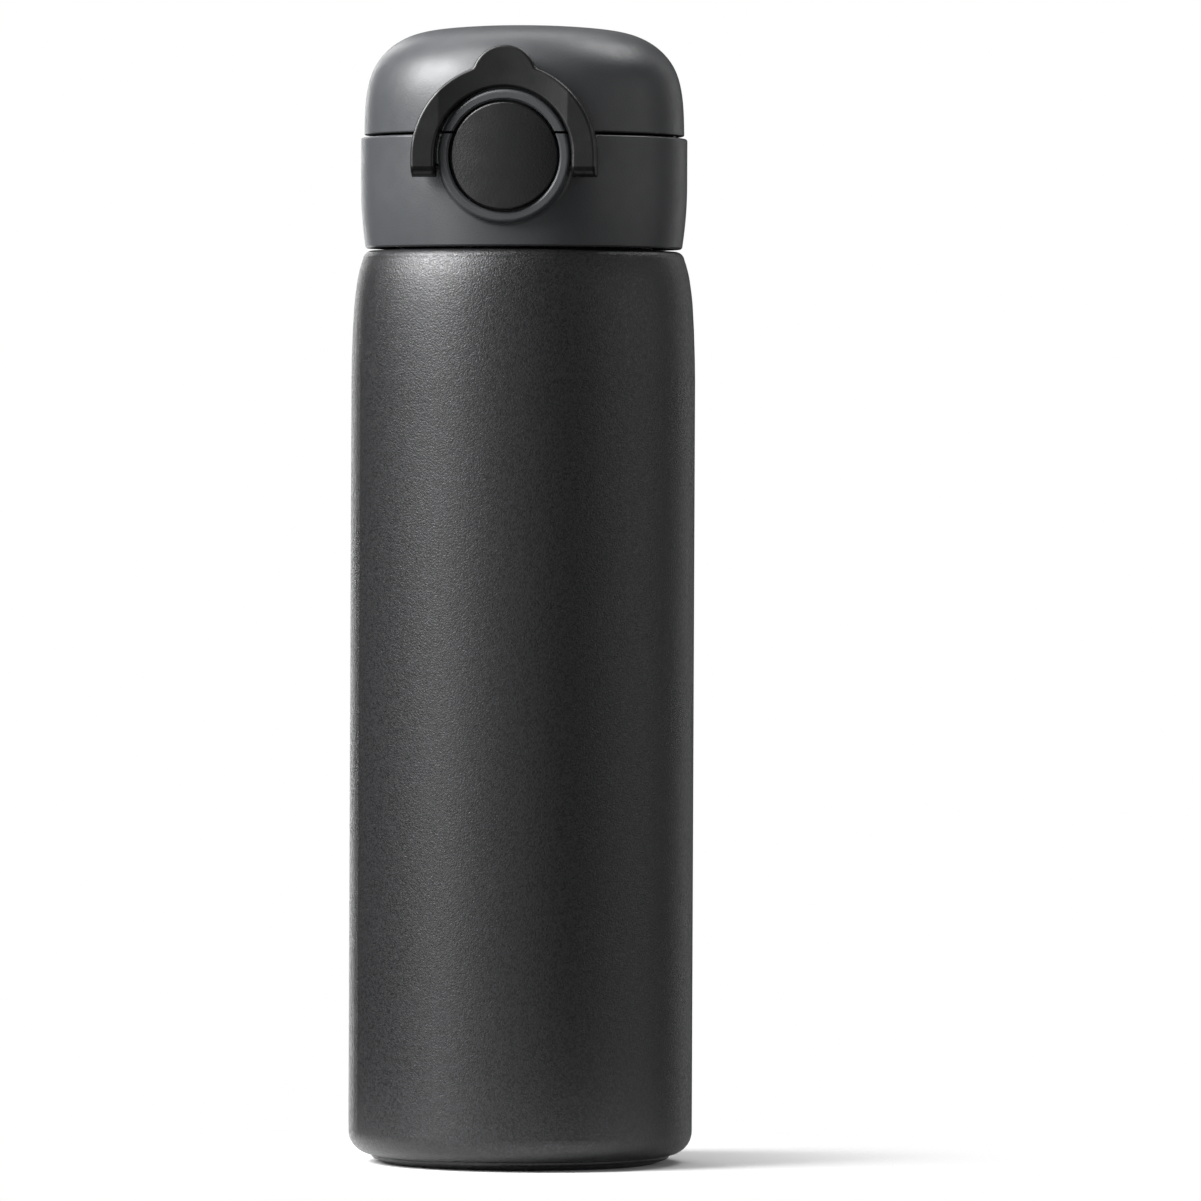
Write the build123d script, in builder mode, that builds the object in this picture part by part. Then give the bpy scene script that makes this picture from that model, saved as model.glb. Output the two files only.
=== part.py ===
import math
import os

from build123d import *

# Vacuum flask with a one-push flip lid. Millimetres, origin at the centre of the base, +Z up.
# The button is on the -Y side and the lid's hinge is on the +Y side.

# Flask body
body_r = 33.0
steel_wall = 0.5
base_corner_r = 4.5
shell_bottom_z = 1.6
shoulder_start_z = 150.0
shoulder_top_z = 174.8
vessel_r = 29.5
vessel_bottom_z = 6.0
neck_r = 24.5
vessel_neck_r = 23.5
lip_z = 186.2
foil_thickness = 0.15

# Screw thread: two starts, right-handed
thread_starts = 2
thread_lead = 6.0
thread_z = 176.9
thread_height = 6.0
neck_crest_r = 25.55
sleeve_bore_r = 25.9
sleeve_crest_r = 24.85
sleeve_r = 27.4

# Cap
collar_r = 31.3
collar_bottom_r = 30.4
collar_bottom_z = 175.3
collar_top_z = 196.45
collar_inner_r = 29.5
sleeve_bottom_z = 176.1
sleeve_deck_z = 187.7
sleeve_deck_top_z = 189.2
spout_deck_z = 194.8
spout_deck_top_z = 196.0
spout_bore_r = 10.0
spout_top_z = 203.8

# Lid
lid_bottom_z = 196.95
lid_top_z = 218.0
lid_wall = 1.6
liner_top_z = 210.0
liner_plate_z = 208.8
holder_z = 205.6
spigot_z = 202.4
spigot_r = 6.5
ledge_z = 198.2
ledge_top_z = 199.4
plug_bottom_z = 200.4

# Button, its round housing and the latch behind it
button_z = 192.25
button_r = 10.15
button_face_r = 33.0
button_back_y = -30.4
housing_bore_r = 10.65
housing_r = 12.6
housing_front_y = -32.3
housing_root_r = 0.8
housing_back_y = -27.5
pocket_floor_y = -28.3
stem_r = 1.9
latch_front_y = -25.4
latch_back_y = -23.8
running_gap = 0.05

# Lock ring
lock_pivot_y = -30.6
lock_pivot_z = 190.2
lock_inner_r = 13.1
lock_outer_r = 17.6
lock_back_r = 31.7
lock_front_y = -34.3
lock_arm_back_y = -29.6
crease_x = 12.3
dish_depth = 1.3
lock_lean = 3.0
tab_r = 6.2
tab_height = 14.85
knuckle_r = 1.95
foot_round_r = 2.6
arm_edge_r = 0.6
lock_stub_r = 0.7
stub_end_x = 11.1

# Lid hinge
hinge_y = 31.2
hinge_z = 196.7
pin_r = 1.2
barrel_r = 2.6
hinge_relief_r = 2.9

button_axis = Axis((0, 0, button_z), (0, 1, 0))
button_plane = Plane(origin=(0, 0, button_z), x_dir=(1, 0, 0), z_dir=(0, 0, 1))


def section(plane, *corners):
    """Closed profile on a plane; a corner given as (u, v, radius) is rounded."""
    with BuildSketch(plane) as profile:
        with BuildLine():
            Polyline(*[(c[0], c[1]) for c in corners], close=True)
        make_face()
        for corner in corners:
            if len(corner) == 3:
                near = profile.vertices().sort_by_distance((corner[0], corner[1], 0))[0]
                fillet(near, radius=corner[2])
    return profile.sketch


def inset(points, depth):
    """The same curve moved inward by a wall's thickness."""
    moved = []
    for i, (r, z) in enumerate(points):
        r0, z0 = points[max(i - 1, 0)]
        r1, z1 = points[min(i + 1, len(points) - 1)]
        length = math.hypot(r1 - r0, z1 - z0)
        moved.append((r - depth * (z1 - z0) / length, z + depth * (r1 - r0) / length))
    return moved


def outline(faces):
    """Edges round a patch of faces, without those that two of the faces share."""
    edges = faces.edges()
    owners = [sum(edge.is_same(other) for face in faces for other in face.edges()) for edge in edges]
    return ShapeList([edge for edge, count in zip(edges, owners) if count == 1])


def rod(start, end, radius):
    """Round bar between two points."""
    a = Vector(*start)
    b = Vector(*end)
    with BuildPart(Plane(origin=a, z_dir=(b - a).normalized())) as bar:
        Cylinder(radius, (b - a).length, align=(Align.CENTER, Align.CENTER, Align.MIN))
    return bar.part


def block(x0, x1, y0, y1, z0, z1):
    """Box between two corners."""
    with BuildPart(Plane(origin=((x0 + x1) / 2, (y0 + y1) / 2, z0))) as box:
        Box(x1 - x0, y1 - y0, z1 - z0, align=(Align.CENTER, Align.CENTER, Align.MIN))
    return box.part


def wall_block(half_width, y0, outer_r, z0, z1):
    """Block behind a round wall, trimmed to the wall's own radius."""
    with BuildPart() as filler:
        with BuildSketch(Plane.XY.offset(z0)):
            Circle(outer_r)
            with Locations((0, y0 + outer_r / 2)):
                Rectangle(2 * half_width, outer_r, mode=Mode.INTERSECT)
        extrude(amount=z1 - z0)
    return filler.part


def slab(x0, x1, *corners):
    """Side profile, corners as (y, z), run from x0 to x1."""
    with BuildPart() as plate:
        with BuildSketch(Plane.YZ.offset(x0)):
            with BuildLine():
                Polyline(*corners, close=True)
            make_face()
        extrude(amount=x1 - x0)
    return plate.part


def coil(plane, radius, wire_r, pitch, turns):
    """Round-wire coil along the plane's normal that starts on its x direction."""
    with BuildPart() as spring:
        with BuildLine() as path:
            Helix(pitch=pitch, height=pitch * turns, radius=radius)
        with BuildSketch(Plane(origin=path.line @ 0, z_dir=path.line % 0)):
            Circle(wire_r)
        sweep(path=path.line, is_frenet=True)
    return plane.location * spring.part


def thread_ridge(root_r, crest_r, start_angle):
    """One start of a trapezoidal thread."""
    depth = crest_r - root_r
    with BuildPart() as ridge:
        with BuildLine() as path:
            Helix(pitch=thread_lead, height=thread_height, radius=root_r)
        with BuildSketch(Plane(origin=path.line @ 0, x_dir=(1, 0, 0), z_dir=path.line % 0)):
            with BuildLine():
                Polyline((0, -0.6), (depth, -0.3), (depth, 0.3), (0, 0.6), close=True)
            make_face()
        sweep(path=path.line, is_frenet=True)
    return Location((0, 0, thread_z), (0, 0, start_angle)) * ridge.part


# Flask body ------------------------------------------------------------------------------

shoulder_curve = [
    (body_r, shoulder_start_z),
    (32.88, 156.0),
    (32.6, 162.5),
    (32.1, 167.9),
    (31.5, 171.1),
    (30.85, 173.25),
]
shoulder_inner = inset(shoulder_curve, steel_wall)

with BuildPart() as outer_shell:
    with BuildSketch(Plane.XZ):
        with BuildLine():
            corner_x = body_r - base_corner_r
            corner_z = shell_bottom_z + base_corner_r
            inner_corner_r = base_corner_r - steel_wall
            diag = math.sqrt(0.5)
            Line((26.4, shell_bottom_z), (corner_x, shell_bottom_z))
            ThreePointArc(
                (corner_x, shell_bottom_z),
                (corner_x + base_corner_r * diag, corner_z - base_corner_r * diag),
                (body_r, corner_z),
            )
            Line((body_r, corner_z), shoulder_curve[0])
            Spline(*shoulder_curve, tangents=[(0, 1), (-0.38, 1)])
            ThreePointArc(shoulder_curve[-1], (30.3, 174.32), (29.4, shoulder_top_z))
            Line((29.4, shoulder_top_z), (neck_r + 0.8, shoulder_top_z))
            ThreePointArc(
                (neck_r + 0.8, shoulder_top_z),
                (neck_r + 0.23, shoulder_top_z + 0.23),
                (neck_r, shoulder_top_z + 0.8),
            )
            Line((neck_r, shoulder_top_z + 0.8), (neck_r, lip_z - steel_wall))
            Line((neck_r, lip_z - steel_wall), (neck_r - steel_wall, lip_z - steel_wall))
            Polyline(
                (neck_r - steel_wall, lip_z - steel_wall),
                (neck_r - steel_wall, shoulder_top_z - steel_wall),
                (29.2, shoulder_top_z - steel_wall),
            )
            ThreePointArc((29.2, shoulder_top_z - steel_wall), (29.9, 173.9), shoulder_inner[-1])
            Spline(*reversed(shoulder_inner), tangents=[(0.38, -1), (0, -1)])
            Line(shoulder_inner[0], (body_r - steel_wall, corner_z))
            ThreePointArc(
                (body_r - steel_wall, corner_z),
                (corner_x + inner_corner_r * diag, corner_z - inner_corner_r * diag),
                (corner_x, shell_bottom_z + steel_wall),
            )
            Polyline(
                (corner_x, shell_bottom_z + steel_wall),
                (26.4, shell_bottom_z + steel_wall),
                (26.4, shell_bottom_z),
            )
        make_face()
    revolve(axis=Axis.Z)
    for start in range(thread_starts):
        add(thread_ridge(neck_r - 0.2, neck_crest_r, start * 360 / thread_starts))
outer_shell.part.label = "outer_shell"

vessel_shoulder = [
    (vessel_r, 156.0),
    (28.7, 163.0),
    (25.3, 168.6),
    (vessel_neck_r, 173.5),
]
vessel_shoulder_inner = [
    (vessel_r - steel_wall, 156.0),
    (28.22, 162.85),
    (24.9, 168.25),
    (vessel_neck_r - steel_wall, 173.5),
]

with BuildPart() as inner_vessel:
    with BuildSketch(Plane.XZ) as vessel_profile:
        with BuildLine():
            vessel_neck_inner_r = vessel_neck_r - steel_wall
            vessel_inner_r = vessel_r - steel_wall
            Polyline((0, vessel_bottom_z), (vessel_r, vessel_bottom_z), vessel_shoulder[0])
            Spline(*vessel_shoulder, tangents=[(0, 1), (0, 1)])
            Polyline(
                vessel_shoulder[-1],
                (vessel_neck_r, lip_z - steel_wall),
                (neck_r, lip_z - steel_wall),
                (neck_r, lip_z),
                (vessel_neck_inner_r, lip_z),
                vessel_shoulder_inner[-1],
            )
            Spline(*reversed(vessel_shoulder_inner), tangents=[(0, -1), (0, -1)])
            Polyline(
                vessel_shoulder_inner[0],
                (vessel_inner_r, vessel_bottom_z + steel_wall),
                (0, vessel_bottom_z + steel_wall),
                (0, vessel_bottom_z),
            )
        make_face()
        for corner_r, corner_h, radius in (
            (vessel_r, vessel_bottom_z, 6.0),
            (vessel_inner_r, vessel_bottom_z + steel_wall, 5.5),
        ):
            near = vessel_profile.vertices().sort_by_distance((corner_r, corner_h, 0))[0]
            fillet(near, radius=radius)
    revolve(axis=Axis.Z)
inner_vessel.part.label = "inner_vessel"

with BuildPart() as reflective_foil:
    foil_r = vessel_r + foil_thickness
    revolve(
        section(Plane.XZ, (vessel_r, 14.0), (foil_r, 14.0), (foil_r, 154.0), (vessel_r, 154.0)),
        axis=Axis.Z,
    )
reflective_foil.part.label = "reflective_foil"

plate_z = shell_bottom_z + steel_wall
plate_top_z = plate_z + 0.6
pump_hole_r = 1.0

with BuildPart() as base_plate:
    revolve(
        section(
            Plane.XZ,
            (pump_hole_r, plate_z),
            (27.4, plate_z),
            (27.4, plate_top_z),
            (pump_hole_r, plate_top_z),
        ),
        axis=Axis.Z,
    )
base_plate.part.label = "base_plate"

getter_x = 13.0

with BuildPart() as getter_holder:
    with Locations((getter_x, 0, plate_top_z)):
        Cylinder(5.0, 1.7, align=(Align.CENTER, Align.CENTER, Align.MIN))
    with Locations((getter_x, 0, plate_top_z + 0.4)):
        Cylinder(4.6, 1.5, align=(Align.CENTER, Align.CENTER, Align.MIN), mode=Mode.SUBTRACT)
getter_holder.part.label = "getter_holder"

with BuildPart() as getter:
    with Locations((getter_x, 0, plate_top_z + 0.4)):
        Cylinder(4.6, 1.1, align=(Align.CENTER, Align.CENTER, Align.MIN))
getter.part.label = "getter"

with BuildPart() as seal_bead:
    revolve(
        section(
            Plane.XZ,
            (0, plate_z - 0.4),
            (1.2, plate_z - 0.35),
            (1.9, plate_z),
            (pump_hole_r, plate_z),
            (pump_hole_r, plate_z + 0.4),
            (0, plate_z + 0.4),
        ),
        axis=Axis.Z,
    )
seal_bead.part.label = "seal_bead"

with BuildPart() as base_cover:
    revolve(
        section(
            Plane.XZ,
            (0, 0.7),
            (22.5, 0.7, 0.35),
            (23.4, 0.0, 0.3),
            (26.0, 0.0, 1.5),
            (28.6, 1.0, 0.5),
            (28.6, shell_bottom_z),
            (25.0, shell_bottom_z),
            (24.6, 1.5),
            (0, 1.5),
        ),
        axis=Axis.Z,
    )
base_cover.part.label = "base_cover"

# Screw cap -------------------------------------------------------------------------------

with BuildPart() as mouth_seal:
    revolve(
        section(
            Plane.XZ,
            (22.6, lip_z, 0.3),
            (24.9, lip_z, 0.3),
            (24.9, sleeve_deck_z, 0.3),
            (22.6, sleeve_deck_z, 0.3),
        ),
        axis=Axis.Z,
    )
mouth_seal.part.label = "mouth_seal"

with BuildPart() as collar_shell:
    with BuildSketch(Plane.XZ):
        with BuildLine():
            bottom_edge = (collar_bottom_r, collar_bottom_z + 0.3)
            side_start = (collar_r, 188.0)
            side_end = (collar_r, collar_top_z - 0.45)
            Spline(bottom_edge, (31.12, 182.2), side_start, tangents=[(0.14, 1), (0, 1)])
            Line(side_start, side_end)
            ThreePointArc(
                side_end,
                (collar_r - 0.13, collar_top_z - 0.13),
                (collar_r - 0.45, collar_top_z),
            )
            Polyline(
                (collar_r - 0.45, collar_top_z),
                (collar_inner_r, collar_top_z),
                (collar_inner_r, 181.5),
                (28.8, collar_bottom_z + 0.2),
                (29.0, collar_bottom_z),
                (collar_bottom_r - 0.3, collar_bottom_z),
                bottom_edge,
            )
        make_face()
    revolve(axis=Axis.Z)
    for shelf_z, shelf_top_z, shelf_r in (
        (sleeve_deck_z - 1.6, sleeve_deck_z, 27.6),
        (spout_deck_z - 1.2, spout_deck_z, 28.2),
    ):
        shelf = section(
            Plane.XZ,
            (shelf_r, shelf_z),
            (collar_inner_r + 0.5, shelf_z),
            (collar_inner_r + 0.5, shelf_top_z),
            (shelf_r, shelf_top_z),
        )
        revolve(shelf, axis=Axis.Z)
    housing = section(
        button_plane,
        (0, housing_back_y),
        (housing_r, housing_back_y),
        (housing_r, housing_front_y, 0.7),
        (0, housing_front_y),
    )
    revolve(housing, axis=button_axis)
    root = collar_shell.edges().filter_by(
        lambda edge: abs(math.hypot(edge.center().X, edge.center().Y) - collar_r) < 0.5
        and math.hypot(edge.center().X, edge.center().Z - button_z) < housing_r + 0.1
        and edge.center().Y < 0
        and edge.geom_type != GeomType.LINE
        and edge.center().Z < collar_top_z - 0.5
    )
    fillet(root, radius=housing_root_r)
    pocket = section(
        button_plane,
        (0, pocket_floor_y),
        (housing_bore_r, pocket_floor_y),
        (housing_bore_r, housing_front_y + 0.35),
        (housing_bore_r + 0.35, housing_front_y),
        (housing_bore_r + 0.35, housing_front_y - 2),
        (0, housing_front_y - 2),
    )
    revolve(pocket, axis=button_axis, mode=Mode.SUBTRACT)
    add(rod((0, pocket_floor_y, button_z), (0, -26.0, button_z), stem_r + 1.0))
    add(
        rod((0, -29.5, button_z), (0, -25.0, button_z), stem_r + running_gap),
        mode=Mode.SUBTRACT,
    )
    add(block(-20, 20, -36, -25.5, collar_top_z, 210), mode=Mode.SUBTRACT)
    for side in (-1, 1):
        add(
            rod(
                (side * (stub_end_x - 0.1), lock_pivot_y, lock_pivot_z),
                (side * 14.0, lock_pivot_y, lock_pivot_z),
                lock_stub_r + running_gap,
            ),
            mode=Mode.SUBTRACT,
        )
    add(wall_block(13.2, 26.8, collar_r - 0.3, hinge_z - 5.5, collar_top_z))
    add(
        rod((-8.9, hinge_y, hinge_z), (8.9, hinge_y, hinge_z), hinge_relief_r),
        mode=Mode.SUBTRACT,
    )
    for ear_x in (-13.0, 9.0):
        add(rod((ear_x, hinge_y, hinge_z), (ear_x + 4.0, hinge_y, hinge_z), barrel_r))
        add(
            slab(
                ear_x,
                ear_x + 4.0,
                (28.0, collar_top_z),
                (hinge_y + barrel_r, hinge_z),
                (hinge_y + 2.0, hinge_z - 2.2),
                (hinge_y - 1.1, hinge_z - 7.7),
                (28.0, hinge_z - 6.7),
            )
        )
    add(
        rod((-13.2, hinge_y, hinge_z), (13.2, hinge_y, hinge_z), pin_r),
        mode=Mode.SUBTRACT,
    )
collar_shell.part.label = "collar_shell"

with BuildPart() as thread_sleeve:
    revolve(
        section(
            Plane.XZ,
            (sleeve_bore_r, sleeve_bottom_z),
            (sleeve_r, sleeve_bottom_z, 0.4),
            (sleeve_r, sleeve_deck_z),
            (collar_inner_r - 0.1, sleeve_deck_z),
            (collar_inner_r - 0.1, sleeve_deck_top_z),
            (spout_bore_r, sleeve_deck_top_z),
            (spout_bore_r, sleeve_deck_z),
            (sleeve_bore_r, sleeve_deck_z),
        ),
        axis=Axis.Z,
    )
    for start in range(thread_starts):
        add(thread_ridge(sleeve_bore_r + 0.2, sleeve_crest_r, 90 + start * 360 / thread_starts))
    add(block(-13.2, 13.2, -30, housing_back_y + 0.05, sleeve_deck_z, 191), mode=Mode.SUBTRACT)
thread_sleeve.part.label = "thread_sleeve"

with BuildPart() as spout:
    revolve(
        section(
            Plane.XZ,
            (spout_bore_r, sleeve_deck_top_z),
            (11.3, sleeve_deck_top_z),
            (11.3, spout_deck_z),
            (collar_inner_r - 0.2, spout_deck_z),
            (collar_inner_r - 0.2, spout_deck_top_z),
            (14.6, spout_deck_top_z, 1.2),
            (12.8, spout_top_z, 0.9),
            (spout_bore_r, spout_top_z, 0.9),
        ),
        axis=Axis.Z,
    )
    for cutout in ((13.2, -30, housing_back_y + 0.05), (4.4, -27.6, -21.4), (13.4, 26.6, 30)):
        half_width, y0, y1 = cutout
        add(block(-half_width, half_width, y0, y1, 194, 197), mode=Mode.SUBTRACT)
    add(block(-3.5, 3.5, -18.0, -16.6, sleeve_deck_top_z, spout_deck_z))
spout.part.label = "spout"

with BuildPart() as hinge_pin:
    add(rod((-13.0, hinge_y, hinge_z), (13.0, hinge_y, hinge_z), pin_r))
    chamfer(hinge_pin.edges().filter_by(GeomType.CIRCLE), length=0.25)
hinge_pin.part.label = "hinge_pin"

hinge_coil_r = 1.75
hinge_wire_r = 0.3

with BuildPart() as hinge_spring:
    coil_start = Plane(origin=(-5.0, hinge_y, hinge_z), x_dir=(0, -1, 0), z_dir=(1, 0, 0))
    add(coil(coil_start, hinge_coil_r, hinge_wire_r, 1.0, 10))
    leg_y = hinge_y - hinge_coil_r
    add(rod((-5.0, leg_y, hinge_z + 0.1), (-5.0, leg_y, hinge_z - 2.2), hinge_wire_r))
    add(rod((5.0, leg_y, hinge_z - 0.1), (5.0, leg_y, hinge_z + 2.2), hinge_wire_r))
hinge_spring.part.label = "hinge_spring"

button_wire_r = 0.25

with BuildPart() as button_spring:
    seat = Plane(
        origin=(0, latch_back_y + button_wire_r, button_z), x_dir=(1, 0, 0), z_dir=(0, 1, 0)
    )
    add(coil(seat, 1.8, button_wire_r, 1.06, 5))
button_spring.part.label = "button_spring"

# Lid -------------------------------------------------------------------------------------

lid_curve = [
    (30.7, lid_bottom_z + 0.35),
    (30.6, 200.7),
    (30.38, 203.8),
    (29.86, 206.9),
    (28.75, 210.0),
    (26.5, 213.0),
    (24.5, 214.6),
    (21.6, 216.05),
    (18.2, 216.95),
    (12.7, 217.6),
    (0, lid_top_z),
]
lid_inner_curve = inset(lid_curve, lid_wall)
lid_inner_curve[0] = (lid_inner_curve[0][0], lid_bottom_z)
lid_inner_curve[-1] = (0, lid_top_z - lid_wall)

with BuildPart() as lid_shell:
    with BuildSketch(Plane.XZ):
        with BuildLine():
            Spline(*lid_curve, tangents=[(-0.03, 1), (-1, 0)])
            Line(lid_curve[-1], lid_inner_curve[-1])
            Spline(*reversed(lid_inner_curve), tangents=[(1, 0), (0.03, -1)])
            Line(lid_inner_curve[0], (30.35, lid_bottom_z))
            ThreePointArc((30.35, lid_bottom_z), (30.6, lid_bottom_z + 0.1), lid_curve[0])
        make_face()
    revolve(axis=Axis.Z)
    with BuildPart(mode=Mode.PRIVATE) as lid_housing:
        housing_ring = section(
            button_plane,
            (0, pocket_floor_y + 1.4),
            (housing_r, pocket_floor_y + 1.4),
            (housing_r, housing_front_y, 0.7),
            (0, housing_front_y),
        )
        revolve(housing_ring, axis=button_axis)
        add(block(-20, 20, -40, -20, 170, lid_bottom_z), mode=Mode.SUBTRACT)
    add(lid_housing.part)
    revolve(pocket, axis=button_axis, mode=Mode.SUBTRACT)
    add(block(-4.0, 4.0, pocket_floor_y + 1.2, -25.6, ledge_z, ledge_top_z))
    add(wall_block(13.2, 26.6, 30.2, lid_bottom_z, hinge_z + 4.8))
    add(
        rod((-13.4, hinge_y, hinge_z), (13.4, hinge_y, hinge_z), hinge_relief_r),
        mode=Mode.SUBTRACT,
    )
    for knuckle_x in (-8.8, 5.5):
        add(rod((knuckle_x, hinge_y, hinge_z), (knuckle_x + 3.3, hinge_y, hinge_z), barrel_r))
        add(
            slab(
                knuckle_x,
                knuckle_x + 3.3,
                (28.0, lid_bottom_z),
                (hinge_y + barrel_r, hinge_z),
                (hinge_y + 2.4, hinge_z + 0.8),
                (hinge_y + 1.8, hinge_z + 2.0),
                (hinge_y - 1.2, hinge_z + 7.3),
                (28.6, hinge_z + 7.3),
            )
        )
    add(
        rod((-9.0, hinge_y, hinge_z), (9.0, hinge_y, hinge_z), pin_r + running_gap),
        mode=Mode.SUBTRACT,
    )
lid_shell.part.label = "lid_shell"

with BuildPart() as lid_liner:
    revolve(
        section(
            Plane.XZ,
            (27.4, 197.8),
            (28.7, 197.8),
            (28.6, 203.0),
            (27.6, 206.8),
            (26.0, liner_top_z),
            (0, liner_top_z),
            (0, liner_plate_z),
            (25.3, liner_plate_z),
            (26.5, 206.4),
            (27.4, 202.8),
        ),
        axis=Axis.Z,
    )
    add(block(-14.5, 14.5, -30, -25.2, 197, 206.0), mode=Mode.SUBTRACT)
    add(block(-13.6, 13.6, 26.2, 31, 197, hinge_z + 5.2), mode=Mode.SUBTRACT)
    add(block(-9.2, 9.2, 26.2, 31, hinge_z + 5.0, hinge_z + 7.8), mode=Mode.SUBTRACT)
lid_liner.part.label = "lid_liner"

with BuildPart() as stopper_holder:
    revolve(
        section(
            Plane.XZ,
            (0, spigot_z),
            (spigot_r, spigot_z),
            (spigot_r, holder_z),
            (11.4, holder_z),
            (11.4, liner_plate_z),
            (0, liner_plate_z),
        ),
        axis=Axis.Z,
    )
stopper_holder.part.label = "stopper_holder"

with BuildPart() as stopper_seal:
    revolve(
        section(
            Plane.XZ,
            (0, plug_bottom_z),
            (8.8, plug_bottom_z, 0.9),
            (9.6, spout_top_z),
            (12.6, spout_top_z, 0.4),
            (12.6, holder_z, 0.4),
            (spigot_r, holder_z),
            (spigot_r, spigot_z),
            (0, spigot_z),
        ),
        axis=Axis.Z,
    )
stopper_seal.part.label = "stopper_seal"

# Button ----------------------------------------------------------------------------------

with BuildPart() as button_cap:
    revolve(
        section(
            button_plane,
            (0, latch_back_y),
            (1.2, latch_back_y),
            (1.2, latch_front_y),
            (stem_r, latch_front_y),
            (stem_r, button_back_y),
            (button_r, button_back_y),
            (button_r, -button_face_r),
            (0, -button_face_r),
        ),
        axis=button_axis,
    )
    with Locations((0, 0, button_z)):
        Cylinder(button_face_r, 4 * button_r, mode=Mode.INTERSECT)
    face = button_cap.faces().sort_by(Axis.Y)[0]
    fillet(face.edges(), radius=0.35)
button_cap.part.label = "button_cap"

with BuildPart() as latch_hook:
    add(
        slab(
            -3.8,
            3.8,
            (latch_front_y, sleeve_deck_top_z + 0.3),
            (latch_back_y, sleeve_deck_top_z + 0.3),
            (latch_back_y, ledge_top_z + 1.6),
            (-25.6, ledge_top_z + 1.6),
            (-26.6, ledge_top_z + 0.7),
            (-26.6, ledge_top_z + 0.2),
            (latch_front_y, ledge_top_z + 0.2),
        )
    )
    add(
        rod((0, latch_front_y - 0.5, button_z), (0, latch_back_y + 0.5, button_z), 1.2),
        mode=Mode.SUBTRACT,
    )
latch_hook.part.label = "latch_hook"

# Lock ring -------------------------------------------------------------------------------

with BuildPart() as lock_ring:
    with BuildSketch(Plane.XZ.offset(20)) as arch:
        with Locations((0, button_z)):
            Circle(lock_outer_r)
        with Locations((0, button_z + tab_height)):
            Circle(tab_r)
        with Locations((0, button_z - 10)):
            Rectangle(2 * lock_outer_r, 20, mode=Mode.SUBTRACT)
        with Locations((0, (lock_pivot_z + button_z) / 2)):
            Rectangle(2 * lock_outer_r, button_z - lock_pivot_z)
        with Locations((0, button_z)):
            Circle(lock_inner_r, mode=Mode.SUBTRACT)
        with Locations((0, button_z - 5)):
            Rectangle(2 * lock_inner_r, 10, mode=Mode.SUBTRACT)
        for neck_x in (-1, 1):
            corners = arch.vertices().filter_by_position(Axis.Y, button_z + 14, button_z + 19)
            side = corners.sort_by_distance((neck_x * 6, button_z + 16.6, 0))[0]
            fillet(side, radius=1.5)
    extrude(amount=20)
    lean = Plane(
        origin=(0, lock_pivot_y, lock_pivot_z), x_dir=(1, 0, 0), z_dir=(0, 0, 1)
    ).rotated((-lock_lean, 0, 0))
    lean_place = lean.location * Location((0, -lock_pivot_y, 0))
    with BuildPart(mode=Mode.PRIVATE) as plan:
        with BuildSketch(Plane.XY.offset(-5)):
            with BuildLine():
                Polyline(
                    (crease_x, lock_front_y),
                    (20, lock_front_y),
                    (20, lock_arm_back_y),
                    (-20, lock_arm_back_y),
                    (-20, lock_front_y),
                    (-crease_x, lock_front_y),
                )
                ThreePointArc(
                    (-crease_x, lock_front_y),
                    (0, lock_front_y + dish_depth),
                    (crease_x, lock_front_y),
                )
            make_face()
        extrude(amount=40)
        Cylinder(lock_back_r, 100, mode=Mode.SUBTRACT)
    add(lean_place * plan.part, mode=Mode.INTERSECT)
    creases = lock_ring.edges().filter_by(
        lambda edge: abs(abs(edge.center().X) - crease_x) < 0.1 and edge.center().Y < lock_pivot_y - 2
    )
    fillet(creases, radius=1.5)
    front = lock_ring.faces().filter_by(lambda face: face.normal_at().Y < -0.9)
    rim = outline(front).filter_by(lambda edge: edge.center().Z > lock_pivot_z + 0.5)
    fillet(rim, radius=arm_edge_r)
    with BuildPart(mode=Mode.PRIVATE) as feet:
        for arm_x in (-lock_outer_r, lock_inner_r):
            foot = section(
                Plane.YZ.offset(arm_x),
                (lock_front_y, 0.9),
                (lock_front_y, -knuckle_r, foot_round_r),
                (lock_pivot_y, -knuckle_r),
                (lock_pivot_y + knuckle_r, 0),
                (lock_arm_back_y, 3.4),
                (lock_pivot_y, 3.4),
                (lock_pivot_y, 0.9),
            )
            extrude(foot, amount=lock_outer_r - lock_inner_r)
        foot_rim = feet.edges().filter_by(
            lambda edge: edge.center().Y < lock_pivot_y - 0.5
            and edge.center().Z < 0.8
            and abs(edge.tangent_at(0.5).X) < 0.5
        )
        fillet(foot_rim, radius=arm_edge_r)
        for arm_x in (-lock_outer_r, lock_inner_r):
            arm_end_x = arm_x + lock_outer_r - lock_inner_r
            add(rod((arm_x, lock_pivot_y, 0), (arm_end_x, lock_pivot_y, 0), knuckle_r))
    add(lean_place * feet.part)
    for side in (-1, 1):
        add(
            rod(
                (side * stub_end_x, lock_pivot_y, lock_pivot_z),
                (side * (lock_inner_r + 0.5), lock_pivot_y, lock_pivot_z),
                lock_stub_r,
            )
        )
lock_ring.part.label = "lock_ring"

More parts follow.
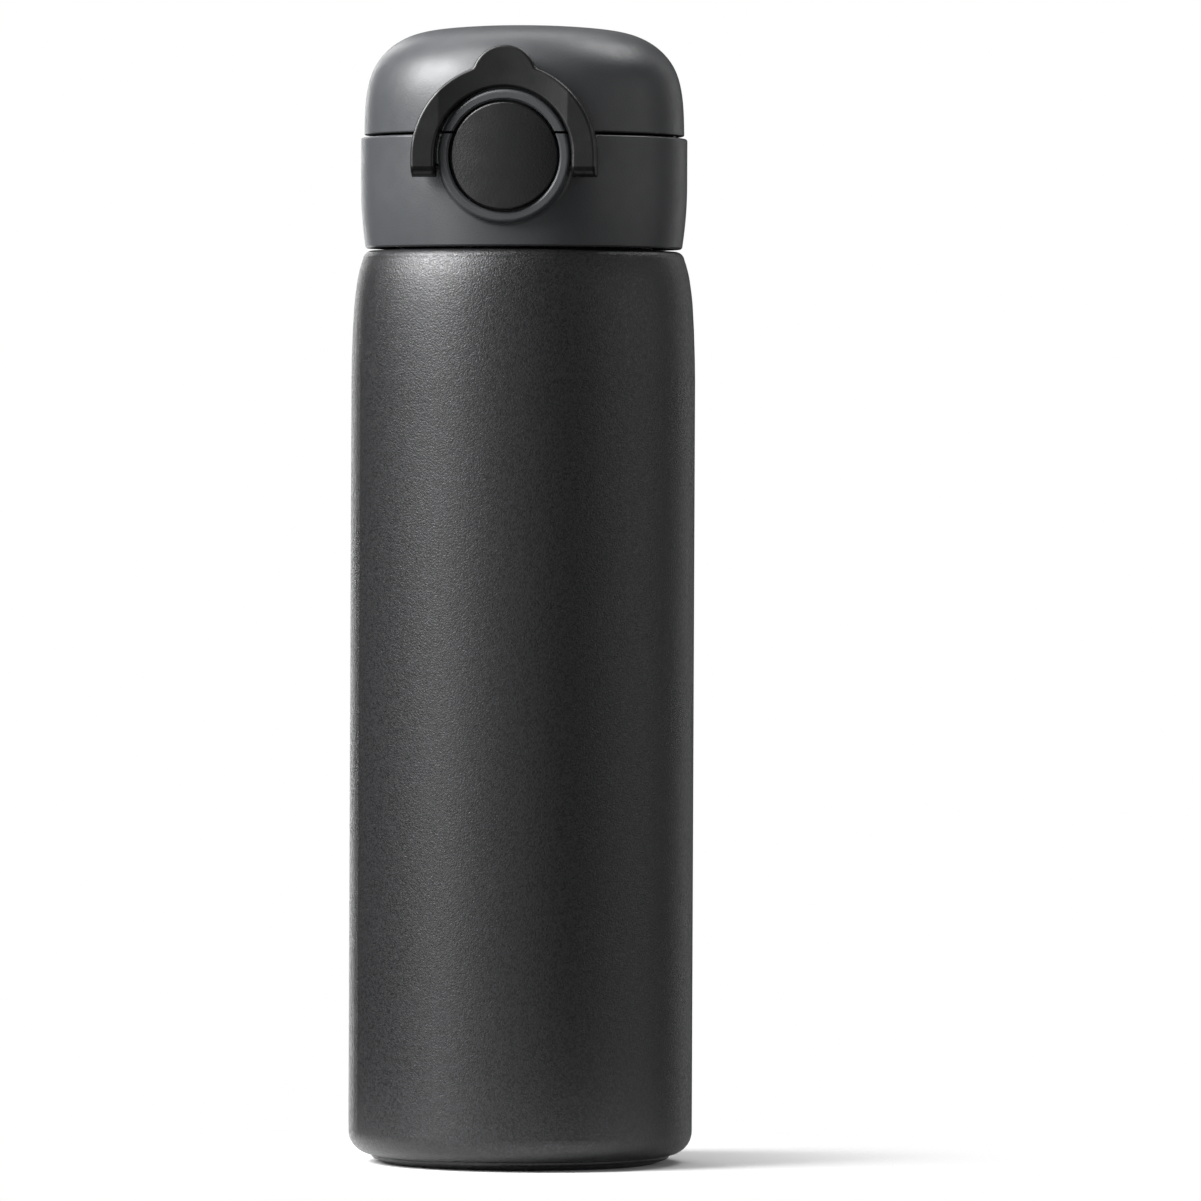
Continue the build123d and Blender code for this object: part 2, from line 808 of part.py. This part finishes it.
os.makedirs("parts", exist_ok=True)
export_step(outer_shell.part, "parts/outer_shell.step")
export_step(inner_vessel.part, "parts/inner_vessel.step")
export_step(reflective_foil.part, "parts/reflective_foil.step")
export_step(base_plate.part, "parts/base_plate.step")
export_step(getter_holder.part, "parts/getter_holder.step")
export_step(getter.part, "parts/getter.step")
export_step(seal_bead.part, "parts/seal_bead.step")
export_step(base_cover.part, "parts/base_cover.step")
export_step(mouth_seal.part, "parts/mouth_seal.step")
export_step(collar_shell.part, "parts/collar_shell.step")
export_step(thread_sleeve.part, "parts/thread_sleeve.step")
export_step(spout.part, "parts/spout.step")
export_step(hinge_pin.part, "parts/hinge_pin.step")
export_step(hinge_spring.part, "parts/hinge_spring.step")
export_step(button_spring.part, "parts/button_spring.step")
export_step(lid_shell.part, "parts/lid_shell.step")
export_step(lid_liner.part, "parts/lid_liner.step")
export_step(stopper_holder.part, "parts/stopper_holder.step")
export_step(stopper_seal.part, "parts/stopper_seal.step")
export_step(button_cap.part, "parts/button_cap.step")
export_step(latch_hook.part, "parts/latch_hook.step")
export_step(lock_ring.part, "parts/lock_ring.step")
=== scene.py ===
import math

import bmesh
import bpy
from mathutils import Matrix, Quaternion, Vector


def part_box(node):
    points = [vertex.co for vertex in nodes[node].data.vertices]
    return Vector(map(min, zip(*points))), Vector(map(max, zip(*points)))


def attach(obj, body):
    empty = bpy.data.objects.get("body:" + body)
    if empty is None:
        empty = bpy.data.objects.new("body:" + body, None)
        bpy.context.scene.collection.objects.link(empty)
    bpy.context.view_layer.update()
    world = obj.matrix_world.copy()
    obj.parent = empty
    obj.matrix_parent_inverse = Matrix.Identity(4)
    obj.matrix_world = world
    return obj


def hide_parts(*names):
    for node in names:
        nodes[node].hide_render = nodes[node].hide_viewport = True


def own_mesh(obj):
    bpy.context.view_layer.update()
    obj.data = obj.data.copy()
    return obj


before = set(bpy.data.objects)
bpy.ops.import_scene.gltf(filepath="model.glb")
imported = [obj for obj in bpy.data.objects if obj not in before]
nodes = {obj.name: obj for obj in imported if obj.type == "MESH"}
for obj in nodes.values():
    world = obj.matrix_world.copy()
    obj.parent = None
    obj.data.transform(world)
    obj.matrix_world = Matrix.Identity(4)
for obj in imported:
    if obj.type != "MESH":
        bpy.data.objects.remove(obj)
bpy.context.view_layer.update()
scene = bpy.context.scene
scene.view_settings.view_transform = "Standard"


# Camera -------------------------------------------------------------------------------------

CAMERA_AZIMUTH = math.radians(6.5)
CAMERA_DISTANCE = 2.0
CAMERA_HEIGHT = 0.1364
CAMERA_LENS = 312.3
CAMERA_ROLL = math.radians(0.25)
AIM_HEIGHT = 0.1079
AIM_RIGHT = 0.0150

# The camera and its aim both move right, so the object stands left of the picture's middle.
back = Vector((math.sin(CAMERA_AZIMUTH), -math.cos(CAMERA_AZIMUTH), 0))
right = Vector((math.cos(CAMERA_AZIMUTH), math.sin(CAMERA_AZIMUTH), 0))
camera_data = bpy.data.cameras.new("camera")
camera_data.lens = CAMERA_LENS
camera_data.clip_start = 0.05
camera_data.clip_end = 50
camera = bpy.data.objects.new("camera", camera_data)
scene.collection.objects.link(camera)
camera.location = back * CAMERA_DISTANCE + Vector((0, 0, CAMERA_HEIGHT)) + right * AIM_RIGHT
aim = Vector((0, 0, AIM_HEIGHT)) + right * AIM_RIGHT
look = (aim - camera.location).to_track_quat("-Z", "Y")
camera.rotation_mode = "QUATERNION"
camera.rotation_quaternion = Quaternion(look @ Vector((0, 0, 1)), CAMERA_ROLL) @ look
scene.camera = camera


# Materials ----------------------------------------------------------------------------------

# Nearly all of a noise lies between these two values.
NOISE_LOW = 0.3
NOISE_HIGH = 0.7
NOISE_ROUGHNESS = 0.55

# Places of the colour mixing node's sockets, several of which share a name.
MIX_FACTOR = 0
MIX_FIRST = 6
MIX_SECOND = 7
MIX_RESULT = 2


def shade(colour, factor):
    """A colour made darker or lighter, with no channel over 1."""
    return tuple(min(channel * factor, 1) for channel in colour)


class Nodes:
    """A material's node tree with short ways to add and join nodes."""

    def __init__(self, name):
        self.material = bpy.data.materials.new(name)
        self.material.use_nodes = True
        self.tree = self.material.node_tree
        self.shader = self.tree.nodes["Principled BSDF"]
        self.coords = self.tree.nodes.new("ShaderNodeTexCoord").outputs["Object"]

    def add(self, kind, **properties):
        node = self.tree.nodes.new(kind)
        for key, value in properties.items():
            setattr(node, key, value)
        return node

    def join(self, source, target):
        self.tree.links.new(source, target)

    def noise(self, scale, detail, squeeze=(1, 1, 1)):
        """Cloudy noise with scale lumps to the metre, finer along each axis that is squeezed."""
        mapping = self.add("ShaderNodeMapping")
        mapping.inputs["Scale"].default_value = squeeze
        self.join(self.coords, mapping.inputs["Vector"])
        noise = self.add("ShaderNodeTexNoise")
        noise.inputs["Scale"].default_value = scale
        noise.inputs["Detail"].default_value = detail
        noise.inputs["Roughness"].default_value = NOISE_ROUGHNESS
        self.join(mapping.outputs["Vector"], noise.inputs["Vector"])
        return noise.outputs["Fac"]

    def cells(self, scale):
        """Small cells, scale to the metre, each with a random colour."""
        voronoi = self.add("ShaderNodeTexVoronoi")
        voronoi.inputs["Scale"].default_value = scale
        self.join(self.coords, voronoi.inputs["Vector"])
        return voronoi.outputs["Color"]

    def spread(self, source, to_low, to_high, low=NOISE_LOW, high=NOISE_HIGH):
        """Stretch the values from low to high over a new range, and clamp the rest."""
        ranged = self.add("ShaderNodeMapRange")
        ranged.inputs["From Min"].default_value = low
        ranged.inputs["From Max"].default_value = high
        ranged.inputs["To Min"].default_value = to_low
        ranged.inputs["To Max"].default_value = to_high
        self.join(source, ranged.inputs["Value"])
        return ranged.outputs["Result"]

    def ramp(self, source, dark, light):
        """Turn a noise into a blend of two colours."""
        ramp = self.add("ShaderNodeValToRGB")
        stops = ((NOISE_LOW, dark), (NOISE_HIGH, light))
        for element, (position, colour) in zip(ramp.color_ramp.elements, stops):
            element.position = position
            element.color = (*colour, 1)
        self.join(source, ramp.inputs["Fac"])
        return ramp.outputs["Color"]

    def mottle(self, source, colour, darkest, lightest):
        """Vary a colour's brightness with a noise."""
        return self.ramp(source, shade(colour, darkest), shade(colour, lightest))

    def mix(self, factor, under, over):
        """Go from a colour socket to a plain colour as the factor rises."""
        mix = self.add("ShaderNodeMix", data_type="RGBA")
        self.join(factor, mix.inputs[MIX_FACTOR])
        self.join(under, mix.inputs[MIX_FIRST])
        mix.inputs[MIX_SECOND].default_value = (*over, 1)
        return mix.outputs[MIX_RESULT]

    def bump(self, height, distance, strength):
        bump = self.add("ShaderNodeBump")
        bump.inputs["Strength"].default_value = strength
        bump.inputs["Distance"].default_value = distance
        self.join(height, bump.inputs["Height"])
        return bump.outputs["Normal"]

    def set(self, **values):
        """Give the shader's sockets their values, or join outputs to them."""
        for key, value in values.items():
            socket = self.shader.inputs[key.replace("_", " ")]
            if hasattr(value, "links"):
                self.join(value, socket)
            else:
                socket.default_value = value


def powder_coat(name, base, glint):
    """Matte coating of fine grains, some of them lighter and more metallic than others."""
    coat = Nodes(name)
    tint = coat.mottle(coat.noise(scale=30, detail=3), base, darkest=0.93, lightest=1.07)
    lit = coat.spread(coat.cells(scale=3000), 0, 1, low=0.25, high=0.9)
    coat.set(
        Base_Color=coat.mix(lit, tint, glint),
        Metallic=coat.spread(lit, 0, 0.9, low=0, high=1),
        Roughness=coat.spread(coat.noise(scale=1500, detail=2), 0.32, 0.46),
        Normal=coat.bump(coat.noise(scale=3000, detail=2), distance=0.00012, strength=0.8),
    )
    return coat.material


def moulded_plastic(name, base, smoothest, roughest, grain_scale=2600, grain_depth=0.00005):
    """Injection-moulded plastic with a spark-eroded grain."""
    plastic = Nodes(name)
    cloud = plastic.noise(scale=45, detail=3)
    grain = plastic.noise(grain_scale, detail=3)
    plastic.set(
        Base_Color=plastic.mottle(cloud, base, darkest=0.95, lightest=1.05),
        Roughness=plastic.spread(plastic.noise(scale=300, detail=4), smoothest, roughest),
        Specular_IOR_Level=0.45,
        Normal=plastic.bump(grain, grain_depth, strength=0.6),
    )
    return plastic.material


def brushed_metal(name, base, smoothest, roughest, squeeze, metallic=1.0):
    """Metal with a fine grain, drawn into lines across an axis squeezed more than the others."""
    metal = Nodes(name)
    grain = metal.noise(scale=900, detail=5, squeeze=squeeze)
    metal.set(
        Base_Color=metal.mottle(grain, base, darkest=0.86, lightest=1.08),
        Metallic=metallic,
        Roughness=metal.spread(grain, smoothest, roughest),
        Normal=metal.bump(grain, distance=0.00003, strength=0.35),
    )
    return metal.material


def silicone_rubber(name, base):
    """Soft translucent rubber with a faint skin."""
    rubber = Nodes(name)
    skin = rubber.noise(scale=700, detail=4)
    rubber.set(
        Base_Color=rubber.mottle(skin, base, darkest=0.93, lightest=1.05),
        Roughness=rubber.spread(skin, 0.42, 0.56),
        Subsurface_Weight=0.25,
        Subsurface_Scale=0.002,
        Normal=rubber.bump(skin, distance=0.00004, strength=0.4),
    )
    return rubber.material


body_black = powder_coat("body_powder_coat", (0.0068, 0.0070, 0.0075), (0.062, 0.062, 0.065))
foot_black = powder_coat("foot_powder_coat", (0.0060, 0.0061, 0.0065), (0.055, 0.055, 0.057))
cap_grey = moulded_plastic("cap_grey_plastic", (0.0475, 0.050, 0.0535), 0.36, 0.43)
charcoal = moulded_plastic("charcoal_plastic", (0.0052, 0.0054, 0.0058), 0.33, 0.41)
button_charcoal = moulded_plastic(
    "button_plastic", (0.0058, 0.0060, 0.0065), 0.34, 0.42, grain_scale=2200, grain_depth=0.00008
)
inner_grey = moulded_plastic("inner_plastic", (0.085, 0.088, 0.092), 0.38, 0.50, grain_scale=1800)
steel = brushed_metal("vessel_steel", (0.60, 0.60, 0.59), 0.24, 0.38, (1, 1, 30))
wire = brushed_metal("wire_steel", (0.55, 0.55, 0.56), 0.18, 0.30, (8, 1, 1))
copper = brushed_metal("copper_foil", (0.80, 0.42, 0.28), 0.22, 0.40, (2, 2, 2))
getter_grey = brushed_metal("getter_alloy", (0.20, 0.20, 0.21), 0.6, 0.8, (1, 1, 1), metallic=0.6)
solder = moulded_plastic("glass_solder", (0.05, 0.055, 0.05), 0.12, 0.25)
silicone = silicone_rubber("silicone", (0.27, 0.275, 0.28))

finishes = {
    "outer_shell": body_black,
    "base_cover": foot_black,
    "inner_vessel": steel,
    "base_plate": steel,
    "getter_holder": steel,
    "getter": getter_grey,
    "seal_bead": solder,
    "reflective_foil": copper,
    "mouth_seal": silicone,
    "collar_shell": cap_grey,
    "thread_sleeve": inner_grey,
    "spout": inner_grey,
    "hinge_pin": wire,
    "hinge_spring": wire,
    "button_spring": wire,
    "lid_shell": cap_grey,
    "lid_liner": inner_grey,
    "stopper_holder": inner_grey,
    "stopper_seal": silicone,
    "button_cap": button_charcoal,
    "latch_hook": inner_grey,
    "lock_ring": charcoal,
}
for node_name, finish in finishes.items():
    mesh = nodes[node_name].data
    mesh.materials.clear()
    mesh.materials.append(finish)

# The coating stops at the foot of the neck, so the neck and its thread are bare steel.
NECK_LENGTH = 0.0113
THREAD_PAST_SEAL = 0.0008

neck_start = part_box("outer_shell")[1].z - NECK_LENGTH
neck_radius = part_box("mouth_seal")[1].x + THREAD_PAST_SEAL
shell = nodes["outer_shell"].data
steel_slot = len(shell.materials)
shell.materials.append(steel)
for face in shell.polygons:
    on_neck = math.hypot(face.center.x, face.center.y) < neck_radius
    if on_neck and face.center.z > neck_start:
        face.material_index = steel_slot


# Button spring ------------------------------------------------------------------------------

# A copy of the imported spring, as a piece of its own that hangs from the cap.
spring = bpy.data.objects.new("compressing_spring", nodes["button_spring"].data.copy())
scene.collection.objects.link(spring)
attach(spring, "cap")
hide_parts("button_spring")
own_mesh(spring)


# Floor --------------------------------------------------------------------------------------

FLOOR_RADIUS = 3.0
FLOOR_SIDES = 96
FLOOR_SOLID = 0.02
FLOOR_GONE = 0.10
FLOOR_DARK = (0.84, 0.84, 0.84)
FLOOR_LIGHT = (0.87, 0.87, 0.87)


def floor_disc():
    """Flat round floor that the object stands on."""
    mesh = bpy.data.meshes.new("floor")
    disc = bmesh.new()
    bmesh.ops.create_circle(disc, cap_ends=True, radius=FLOOR_RADIUS, segments=FLOOR_SIDES)
    disc.to_mesh(mesh)
    disc.free()
    return bpy.data.objects.new("floor", mesh)


def pale_floor():
    """Matte pale paint that thins out to nothing away from the object."""
    paint = Nodes("floor_paint")
    paint.set(
        Base_Color=paint.ramp(paint.noise(scale=3, detail=2), FLOOR_DARK, FLOOR_LIGHT),
        Roughness=0.9,
        Specular_IOR_Level=0.2,
    )
    distance = paint.add("ShaderNodeVectorMath", operation="LENGTH")
    paint.join(paint.coords, distance.inputs[0])
    fade = paint.add("ShaderNodeMapRange", interpolation_type="SMOOTHSTEP")
    fade.inputs["From Min"].default_value = FLOOR_SOLID
    fade.inputs["From Max"].default_value = FLOOR_GONE
    paint.join(distance.outputs["Value"], fade.inputs["Value"])
    clear = paint.add("ShaderNodeBsdfTransparent")
    blend = paint.add("ShaderNodeMixShader")
    paint.join(fade.outputs["Result"], blend.inputs[0])
    paint.join(paint.shader.outputs[0], blend.inputs[1])
    paint.join(clear.outputs[0], blend.inputs[2])
    paint.join(blend.outputs[0], paint.tree.nodes["Material Output"].inputs["Surface"])
    return paint.material


floor = floor_disc()
floor.data.materials.append(pale_floor())
scene.collection.objects.link(floor)


# Lights -------------------------------------------------------------------------------------

AMBIENT = 0.04
BODY_HEIGHT = 0.11
CAP_HEIGHT = 0.19

BODY = (0, 0, BODY_HEIGHT)
CAP = (0, 0, CAP_HEIGHT)


def area_light(name, position, target, size, power):
    """Rectangular light that the camera doesn't see, turned to a target."""
    data = bpy.data.lights.new(name, "AREA")
    data.shape = "RECTANGLE"
    data.size, data.size_y = size
    data.energy = power
    lamp = bpy.data.objects.new(name, data)
    scene.collection.objects.link(lamp)
    lamp.location = position
    lamp.rotation_mode = "QUATERNION"
    lamp.rotation_quaternion = (Vector(target) - Vector(position)).to_track_quat("-Z", "Y")
    lamp.visible_camera = False


def around(azimuth, elevation, distance):
    """A point seen from mid-body, by azimuth right of the front and elevation, in degrees."""
    turn = math.radians(azimuth)
    rise = math.radians(elevation)
    return (
        distance * math.sin(turn) * math.cos(rise),
        -distance * math.cos(turn) * math.cos(rise),
        BODY_HEIGHT + distance * math.sin(rise),
    )


area_light("softbox", around(-67, 37, 1.1), CAP, size=(0.8, 0.6), power=34.5)
area_light("top_left", around(-62, 66, 1.1), CAP, size=(0.5, 0.4), power=6)
area_light("tall_strip", around(-50, 3, 1.2), BODY, size=(0.36, 1.2), power=3.5)
area_light("rim_left", around(-155, 4, 1.3), BODY, size=(0.22, 1.3), power=4)
area_light("rim_right", around(150, 4, 1.3), BODY, size=(0.22, 1.3), power=1.2)
area_light("fill_right", around(84, 8, 1.4), (0, 0, 0.14), size=(1.6, 1.0), power=4.4)
area_light("floor_card", (-0.15, -0.85, 0.01), (0, 0, 0.2), size=(1.1, 0.6), power=1.2)
area_light("floor_wash", (0.5, 0.45, 1.1), (0.13, 0.06, 0), size=(0.5, 0.5), power=5)
area_light("back_top", (-0.2, 0.7, 1.2), (-0.1, 0.3, 0), size=(0.9, 0.5), power=3.2)

# The world looks plain white, but lights the object only faintly.
world = bpy.data.worlds.new("world")
scene.world = world
world.use_nodes = True
sky = world.node_tree
background = sky.nodes["Background"]
background.inputs["Color"].default_value = (1, 1, 1, 1)
rays = sky.nodes.new("ShaderNodeLightPath")
strength = sky.nodes.new("ShaderNodeMapRange")
strength.inputs["To Min"].default_value = AMBIENT
strength.inputs["To Max"].default_value = 1.0
sky.links.new(rays.outputs["Is Camera Ray"], strength.inputs["Value"])
sky.links.new(strength.outputs["Result"], background.inputs["Strength"])
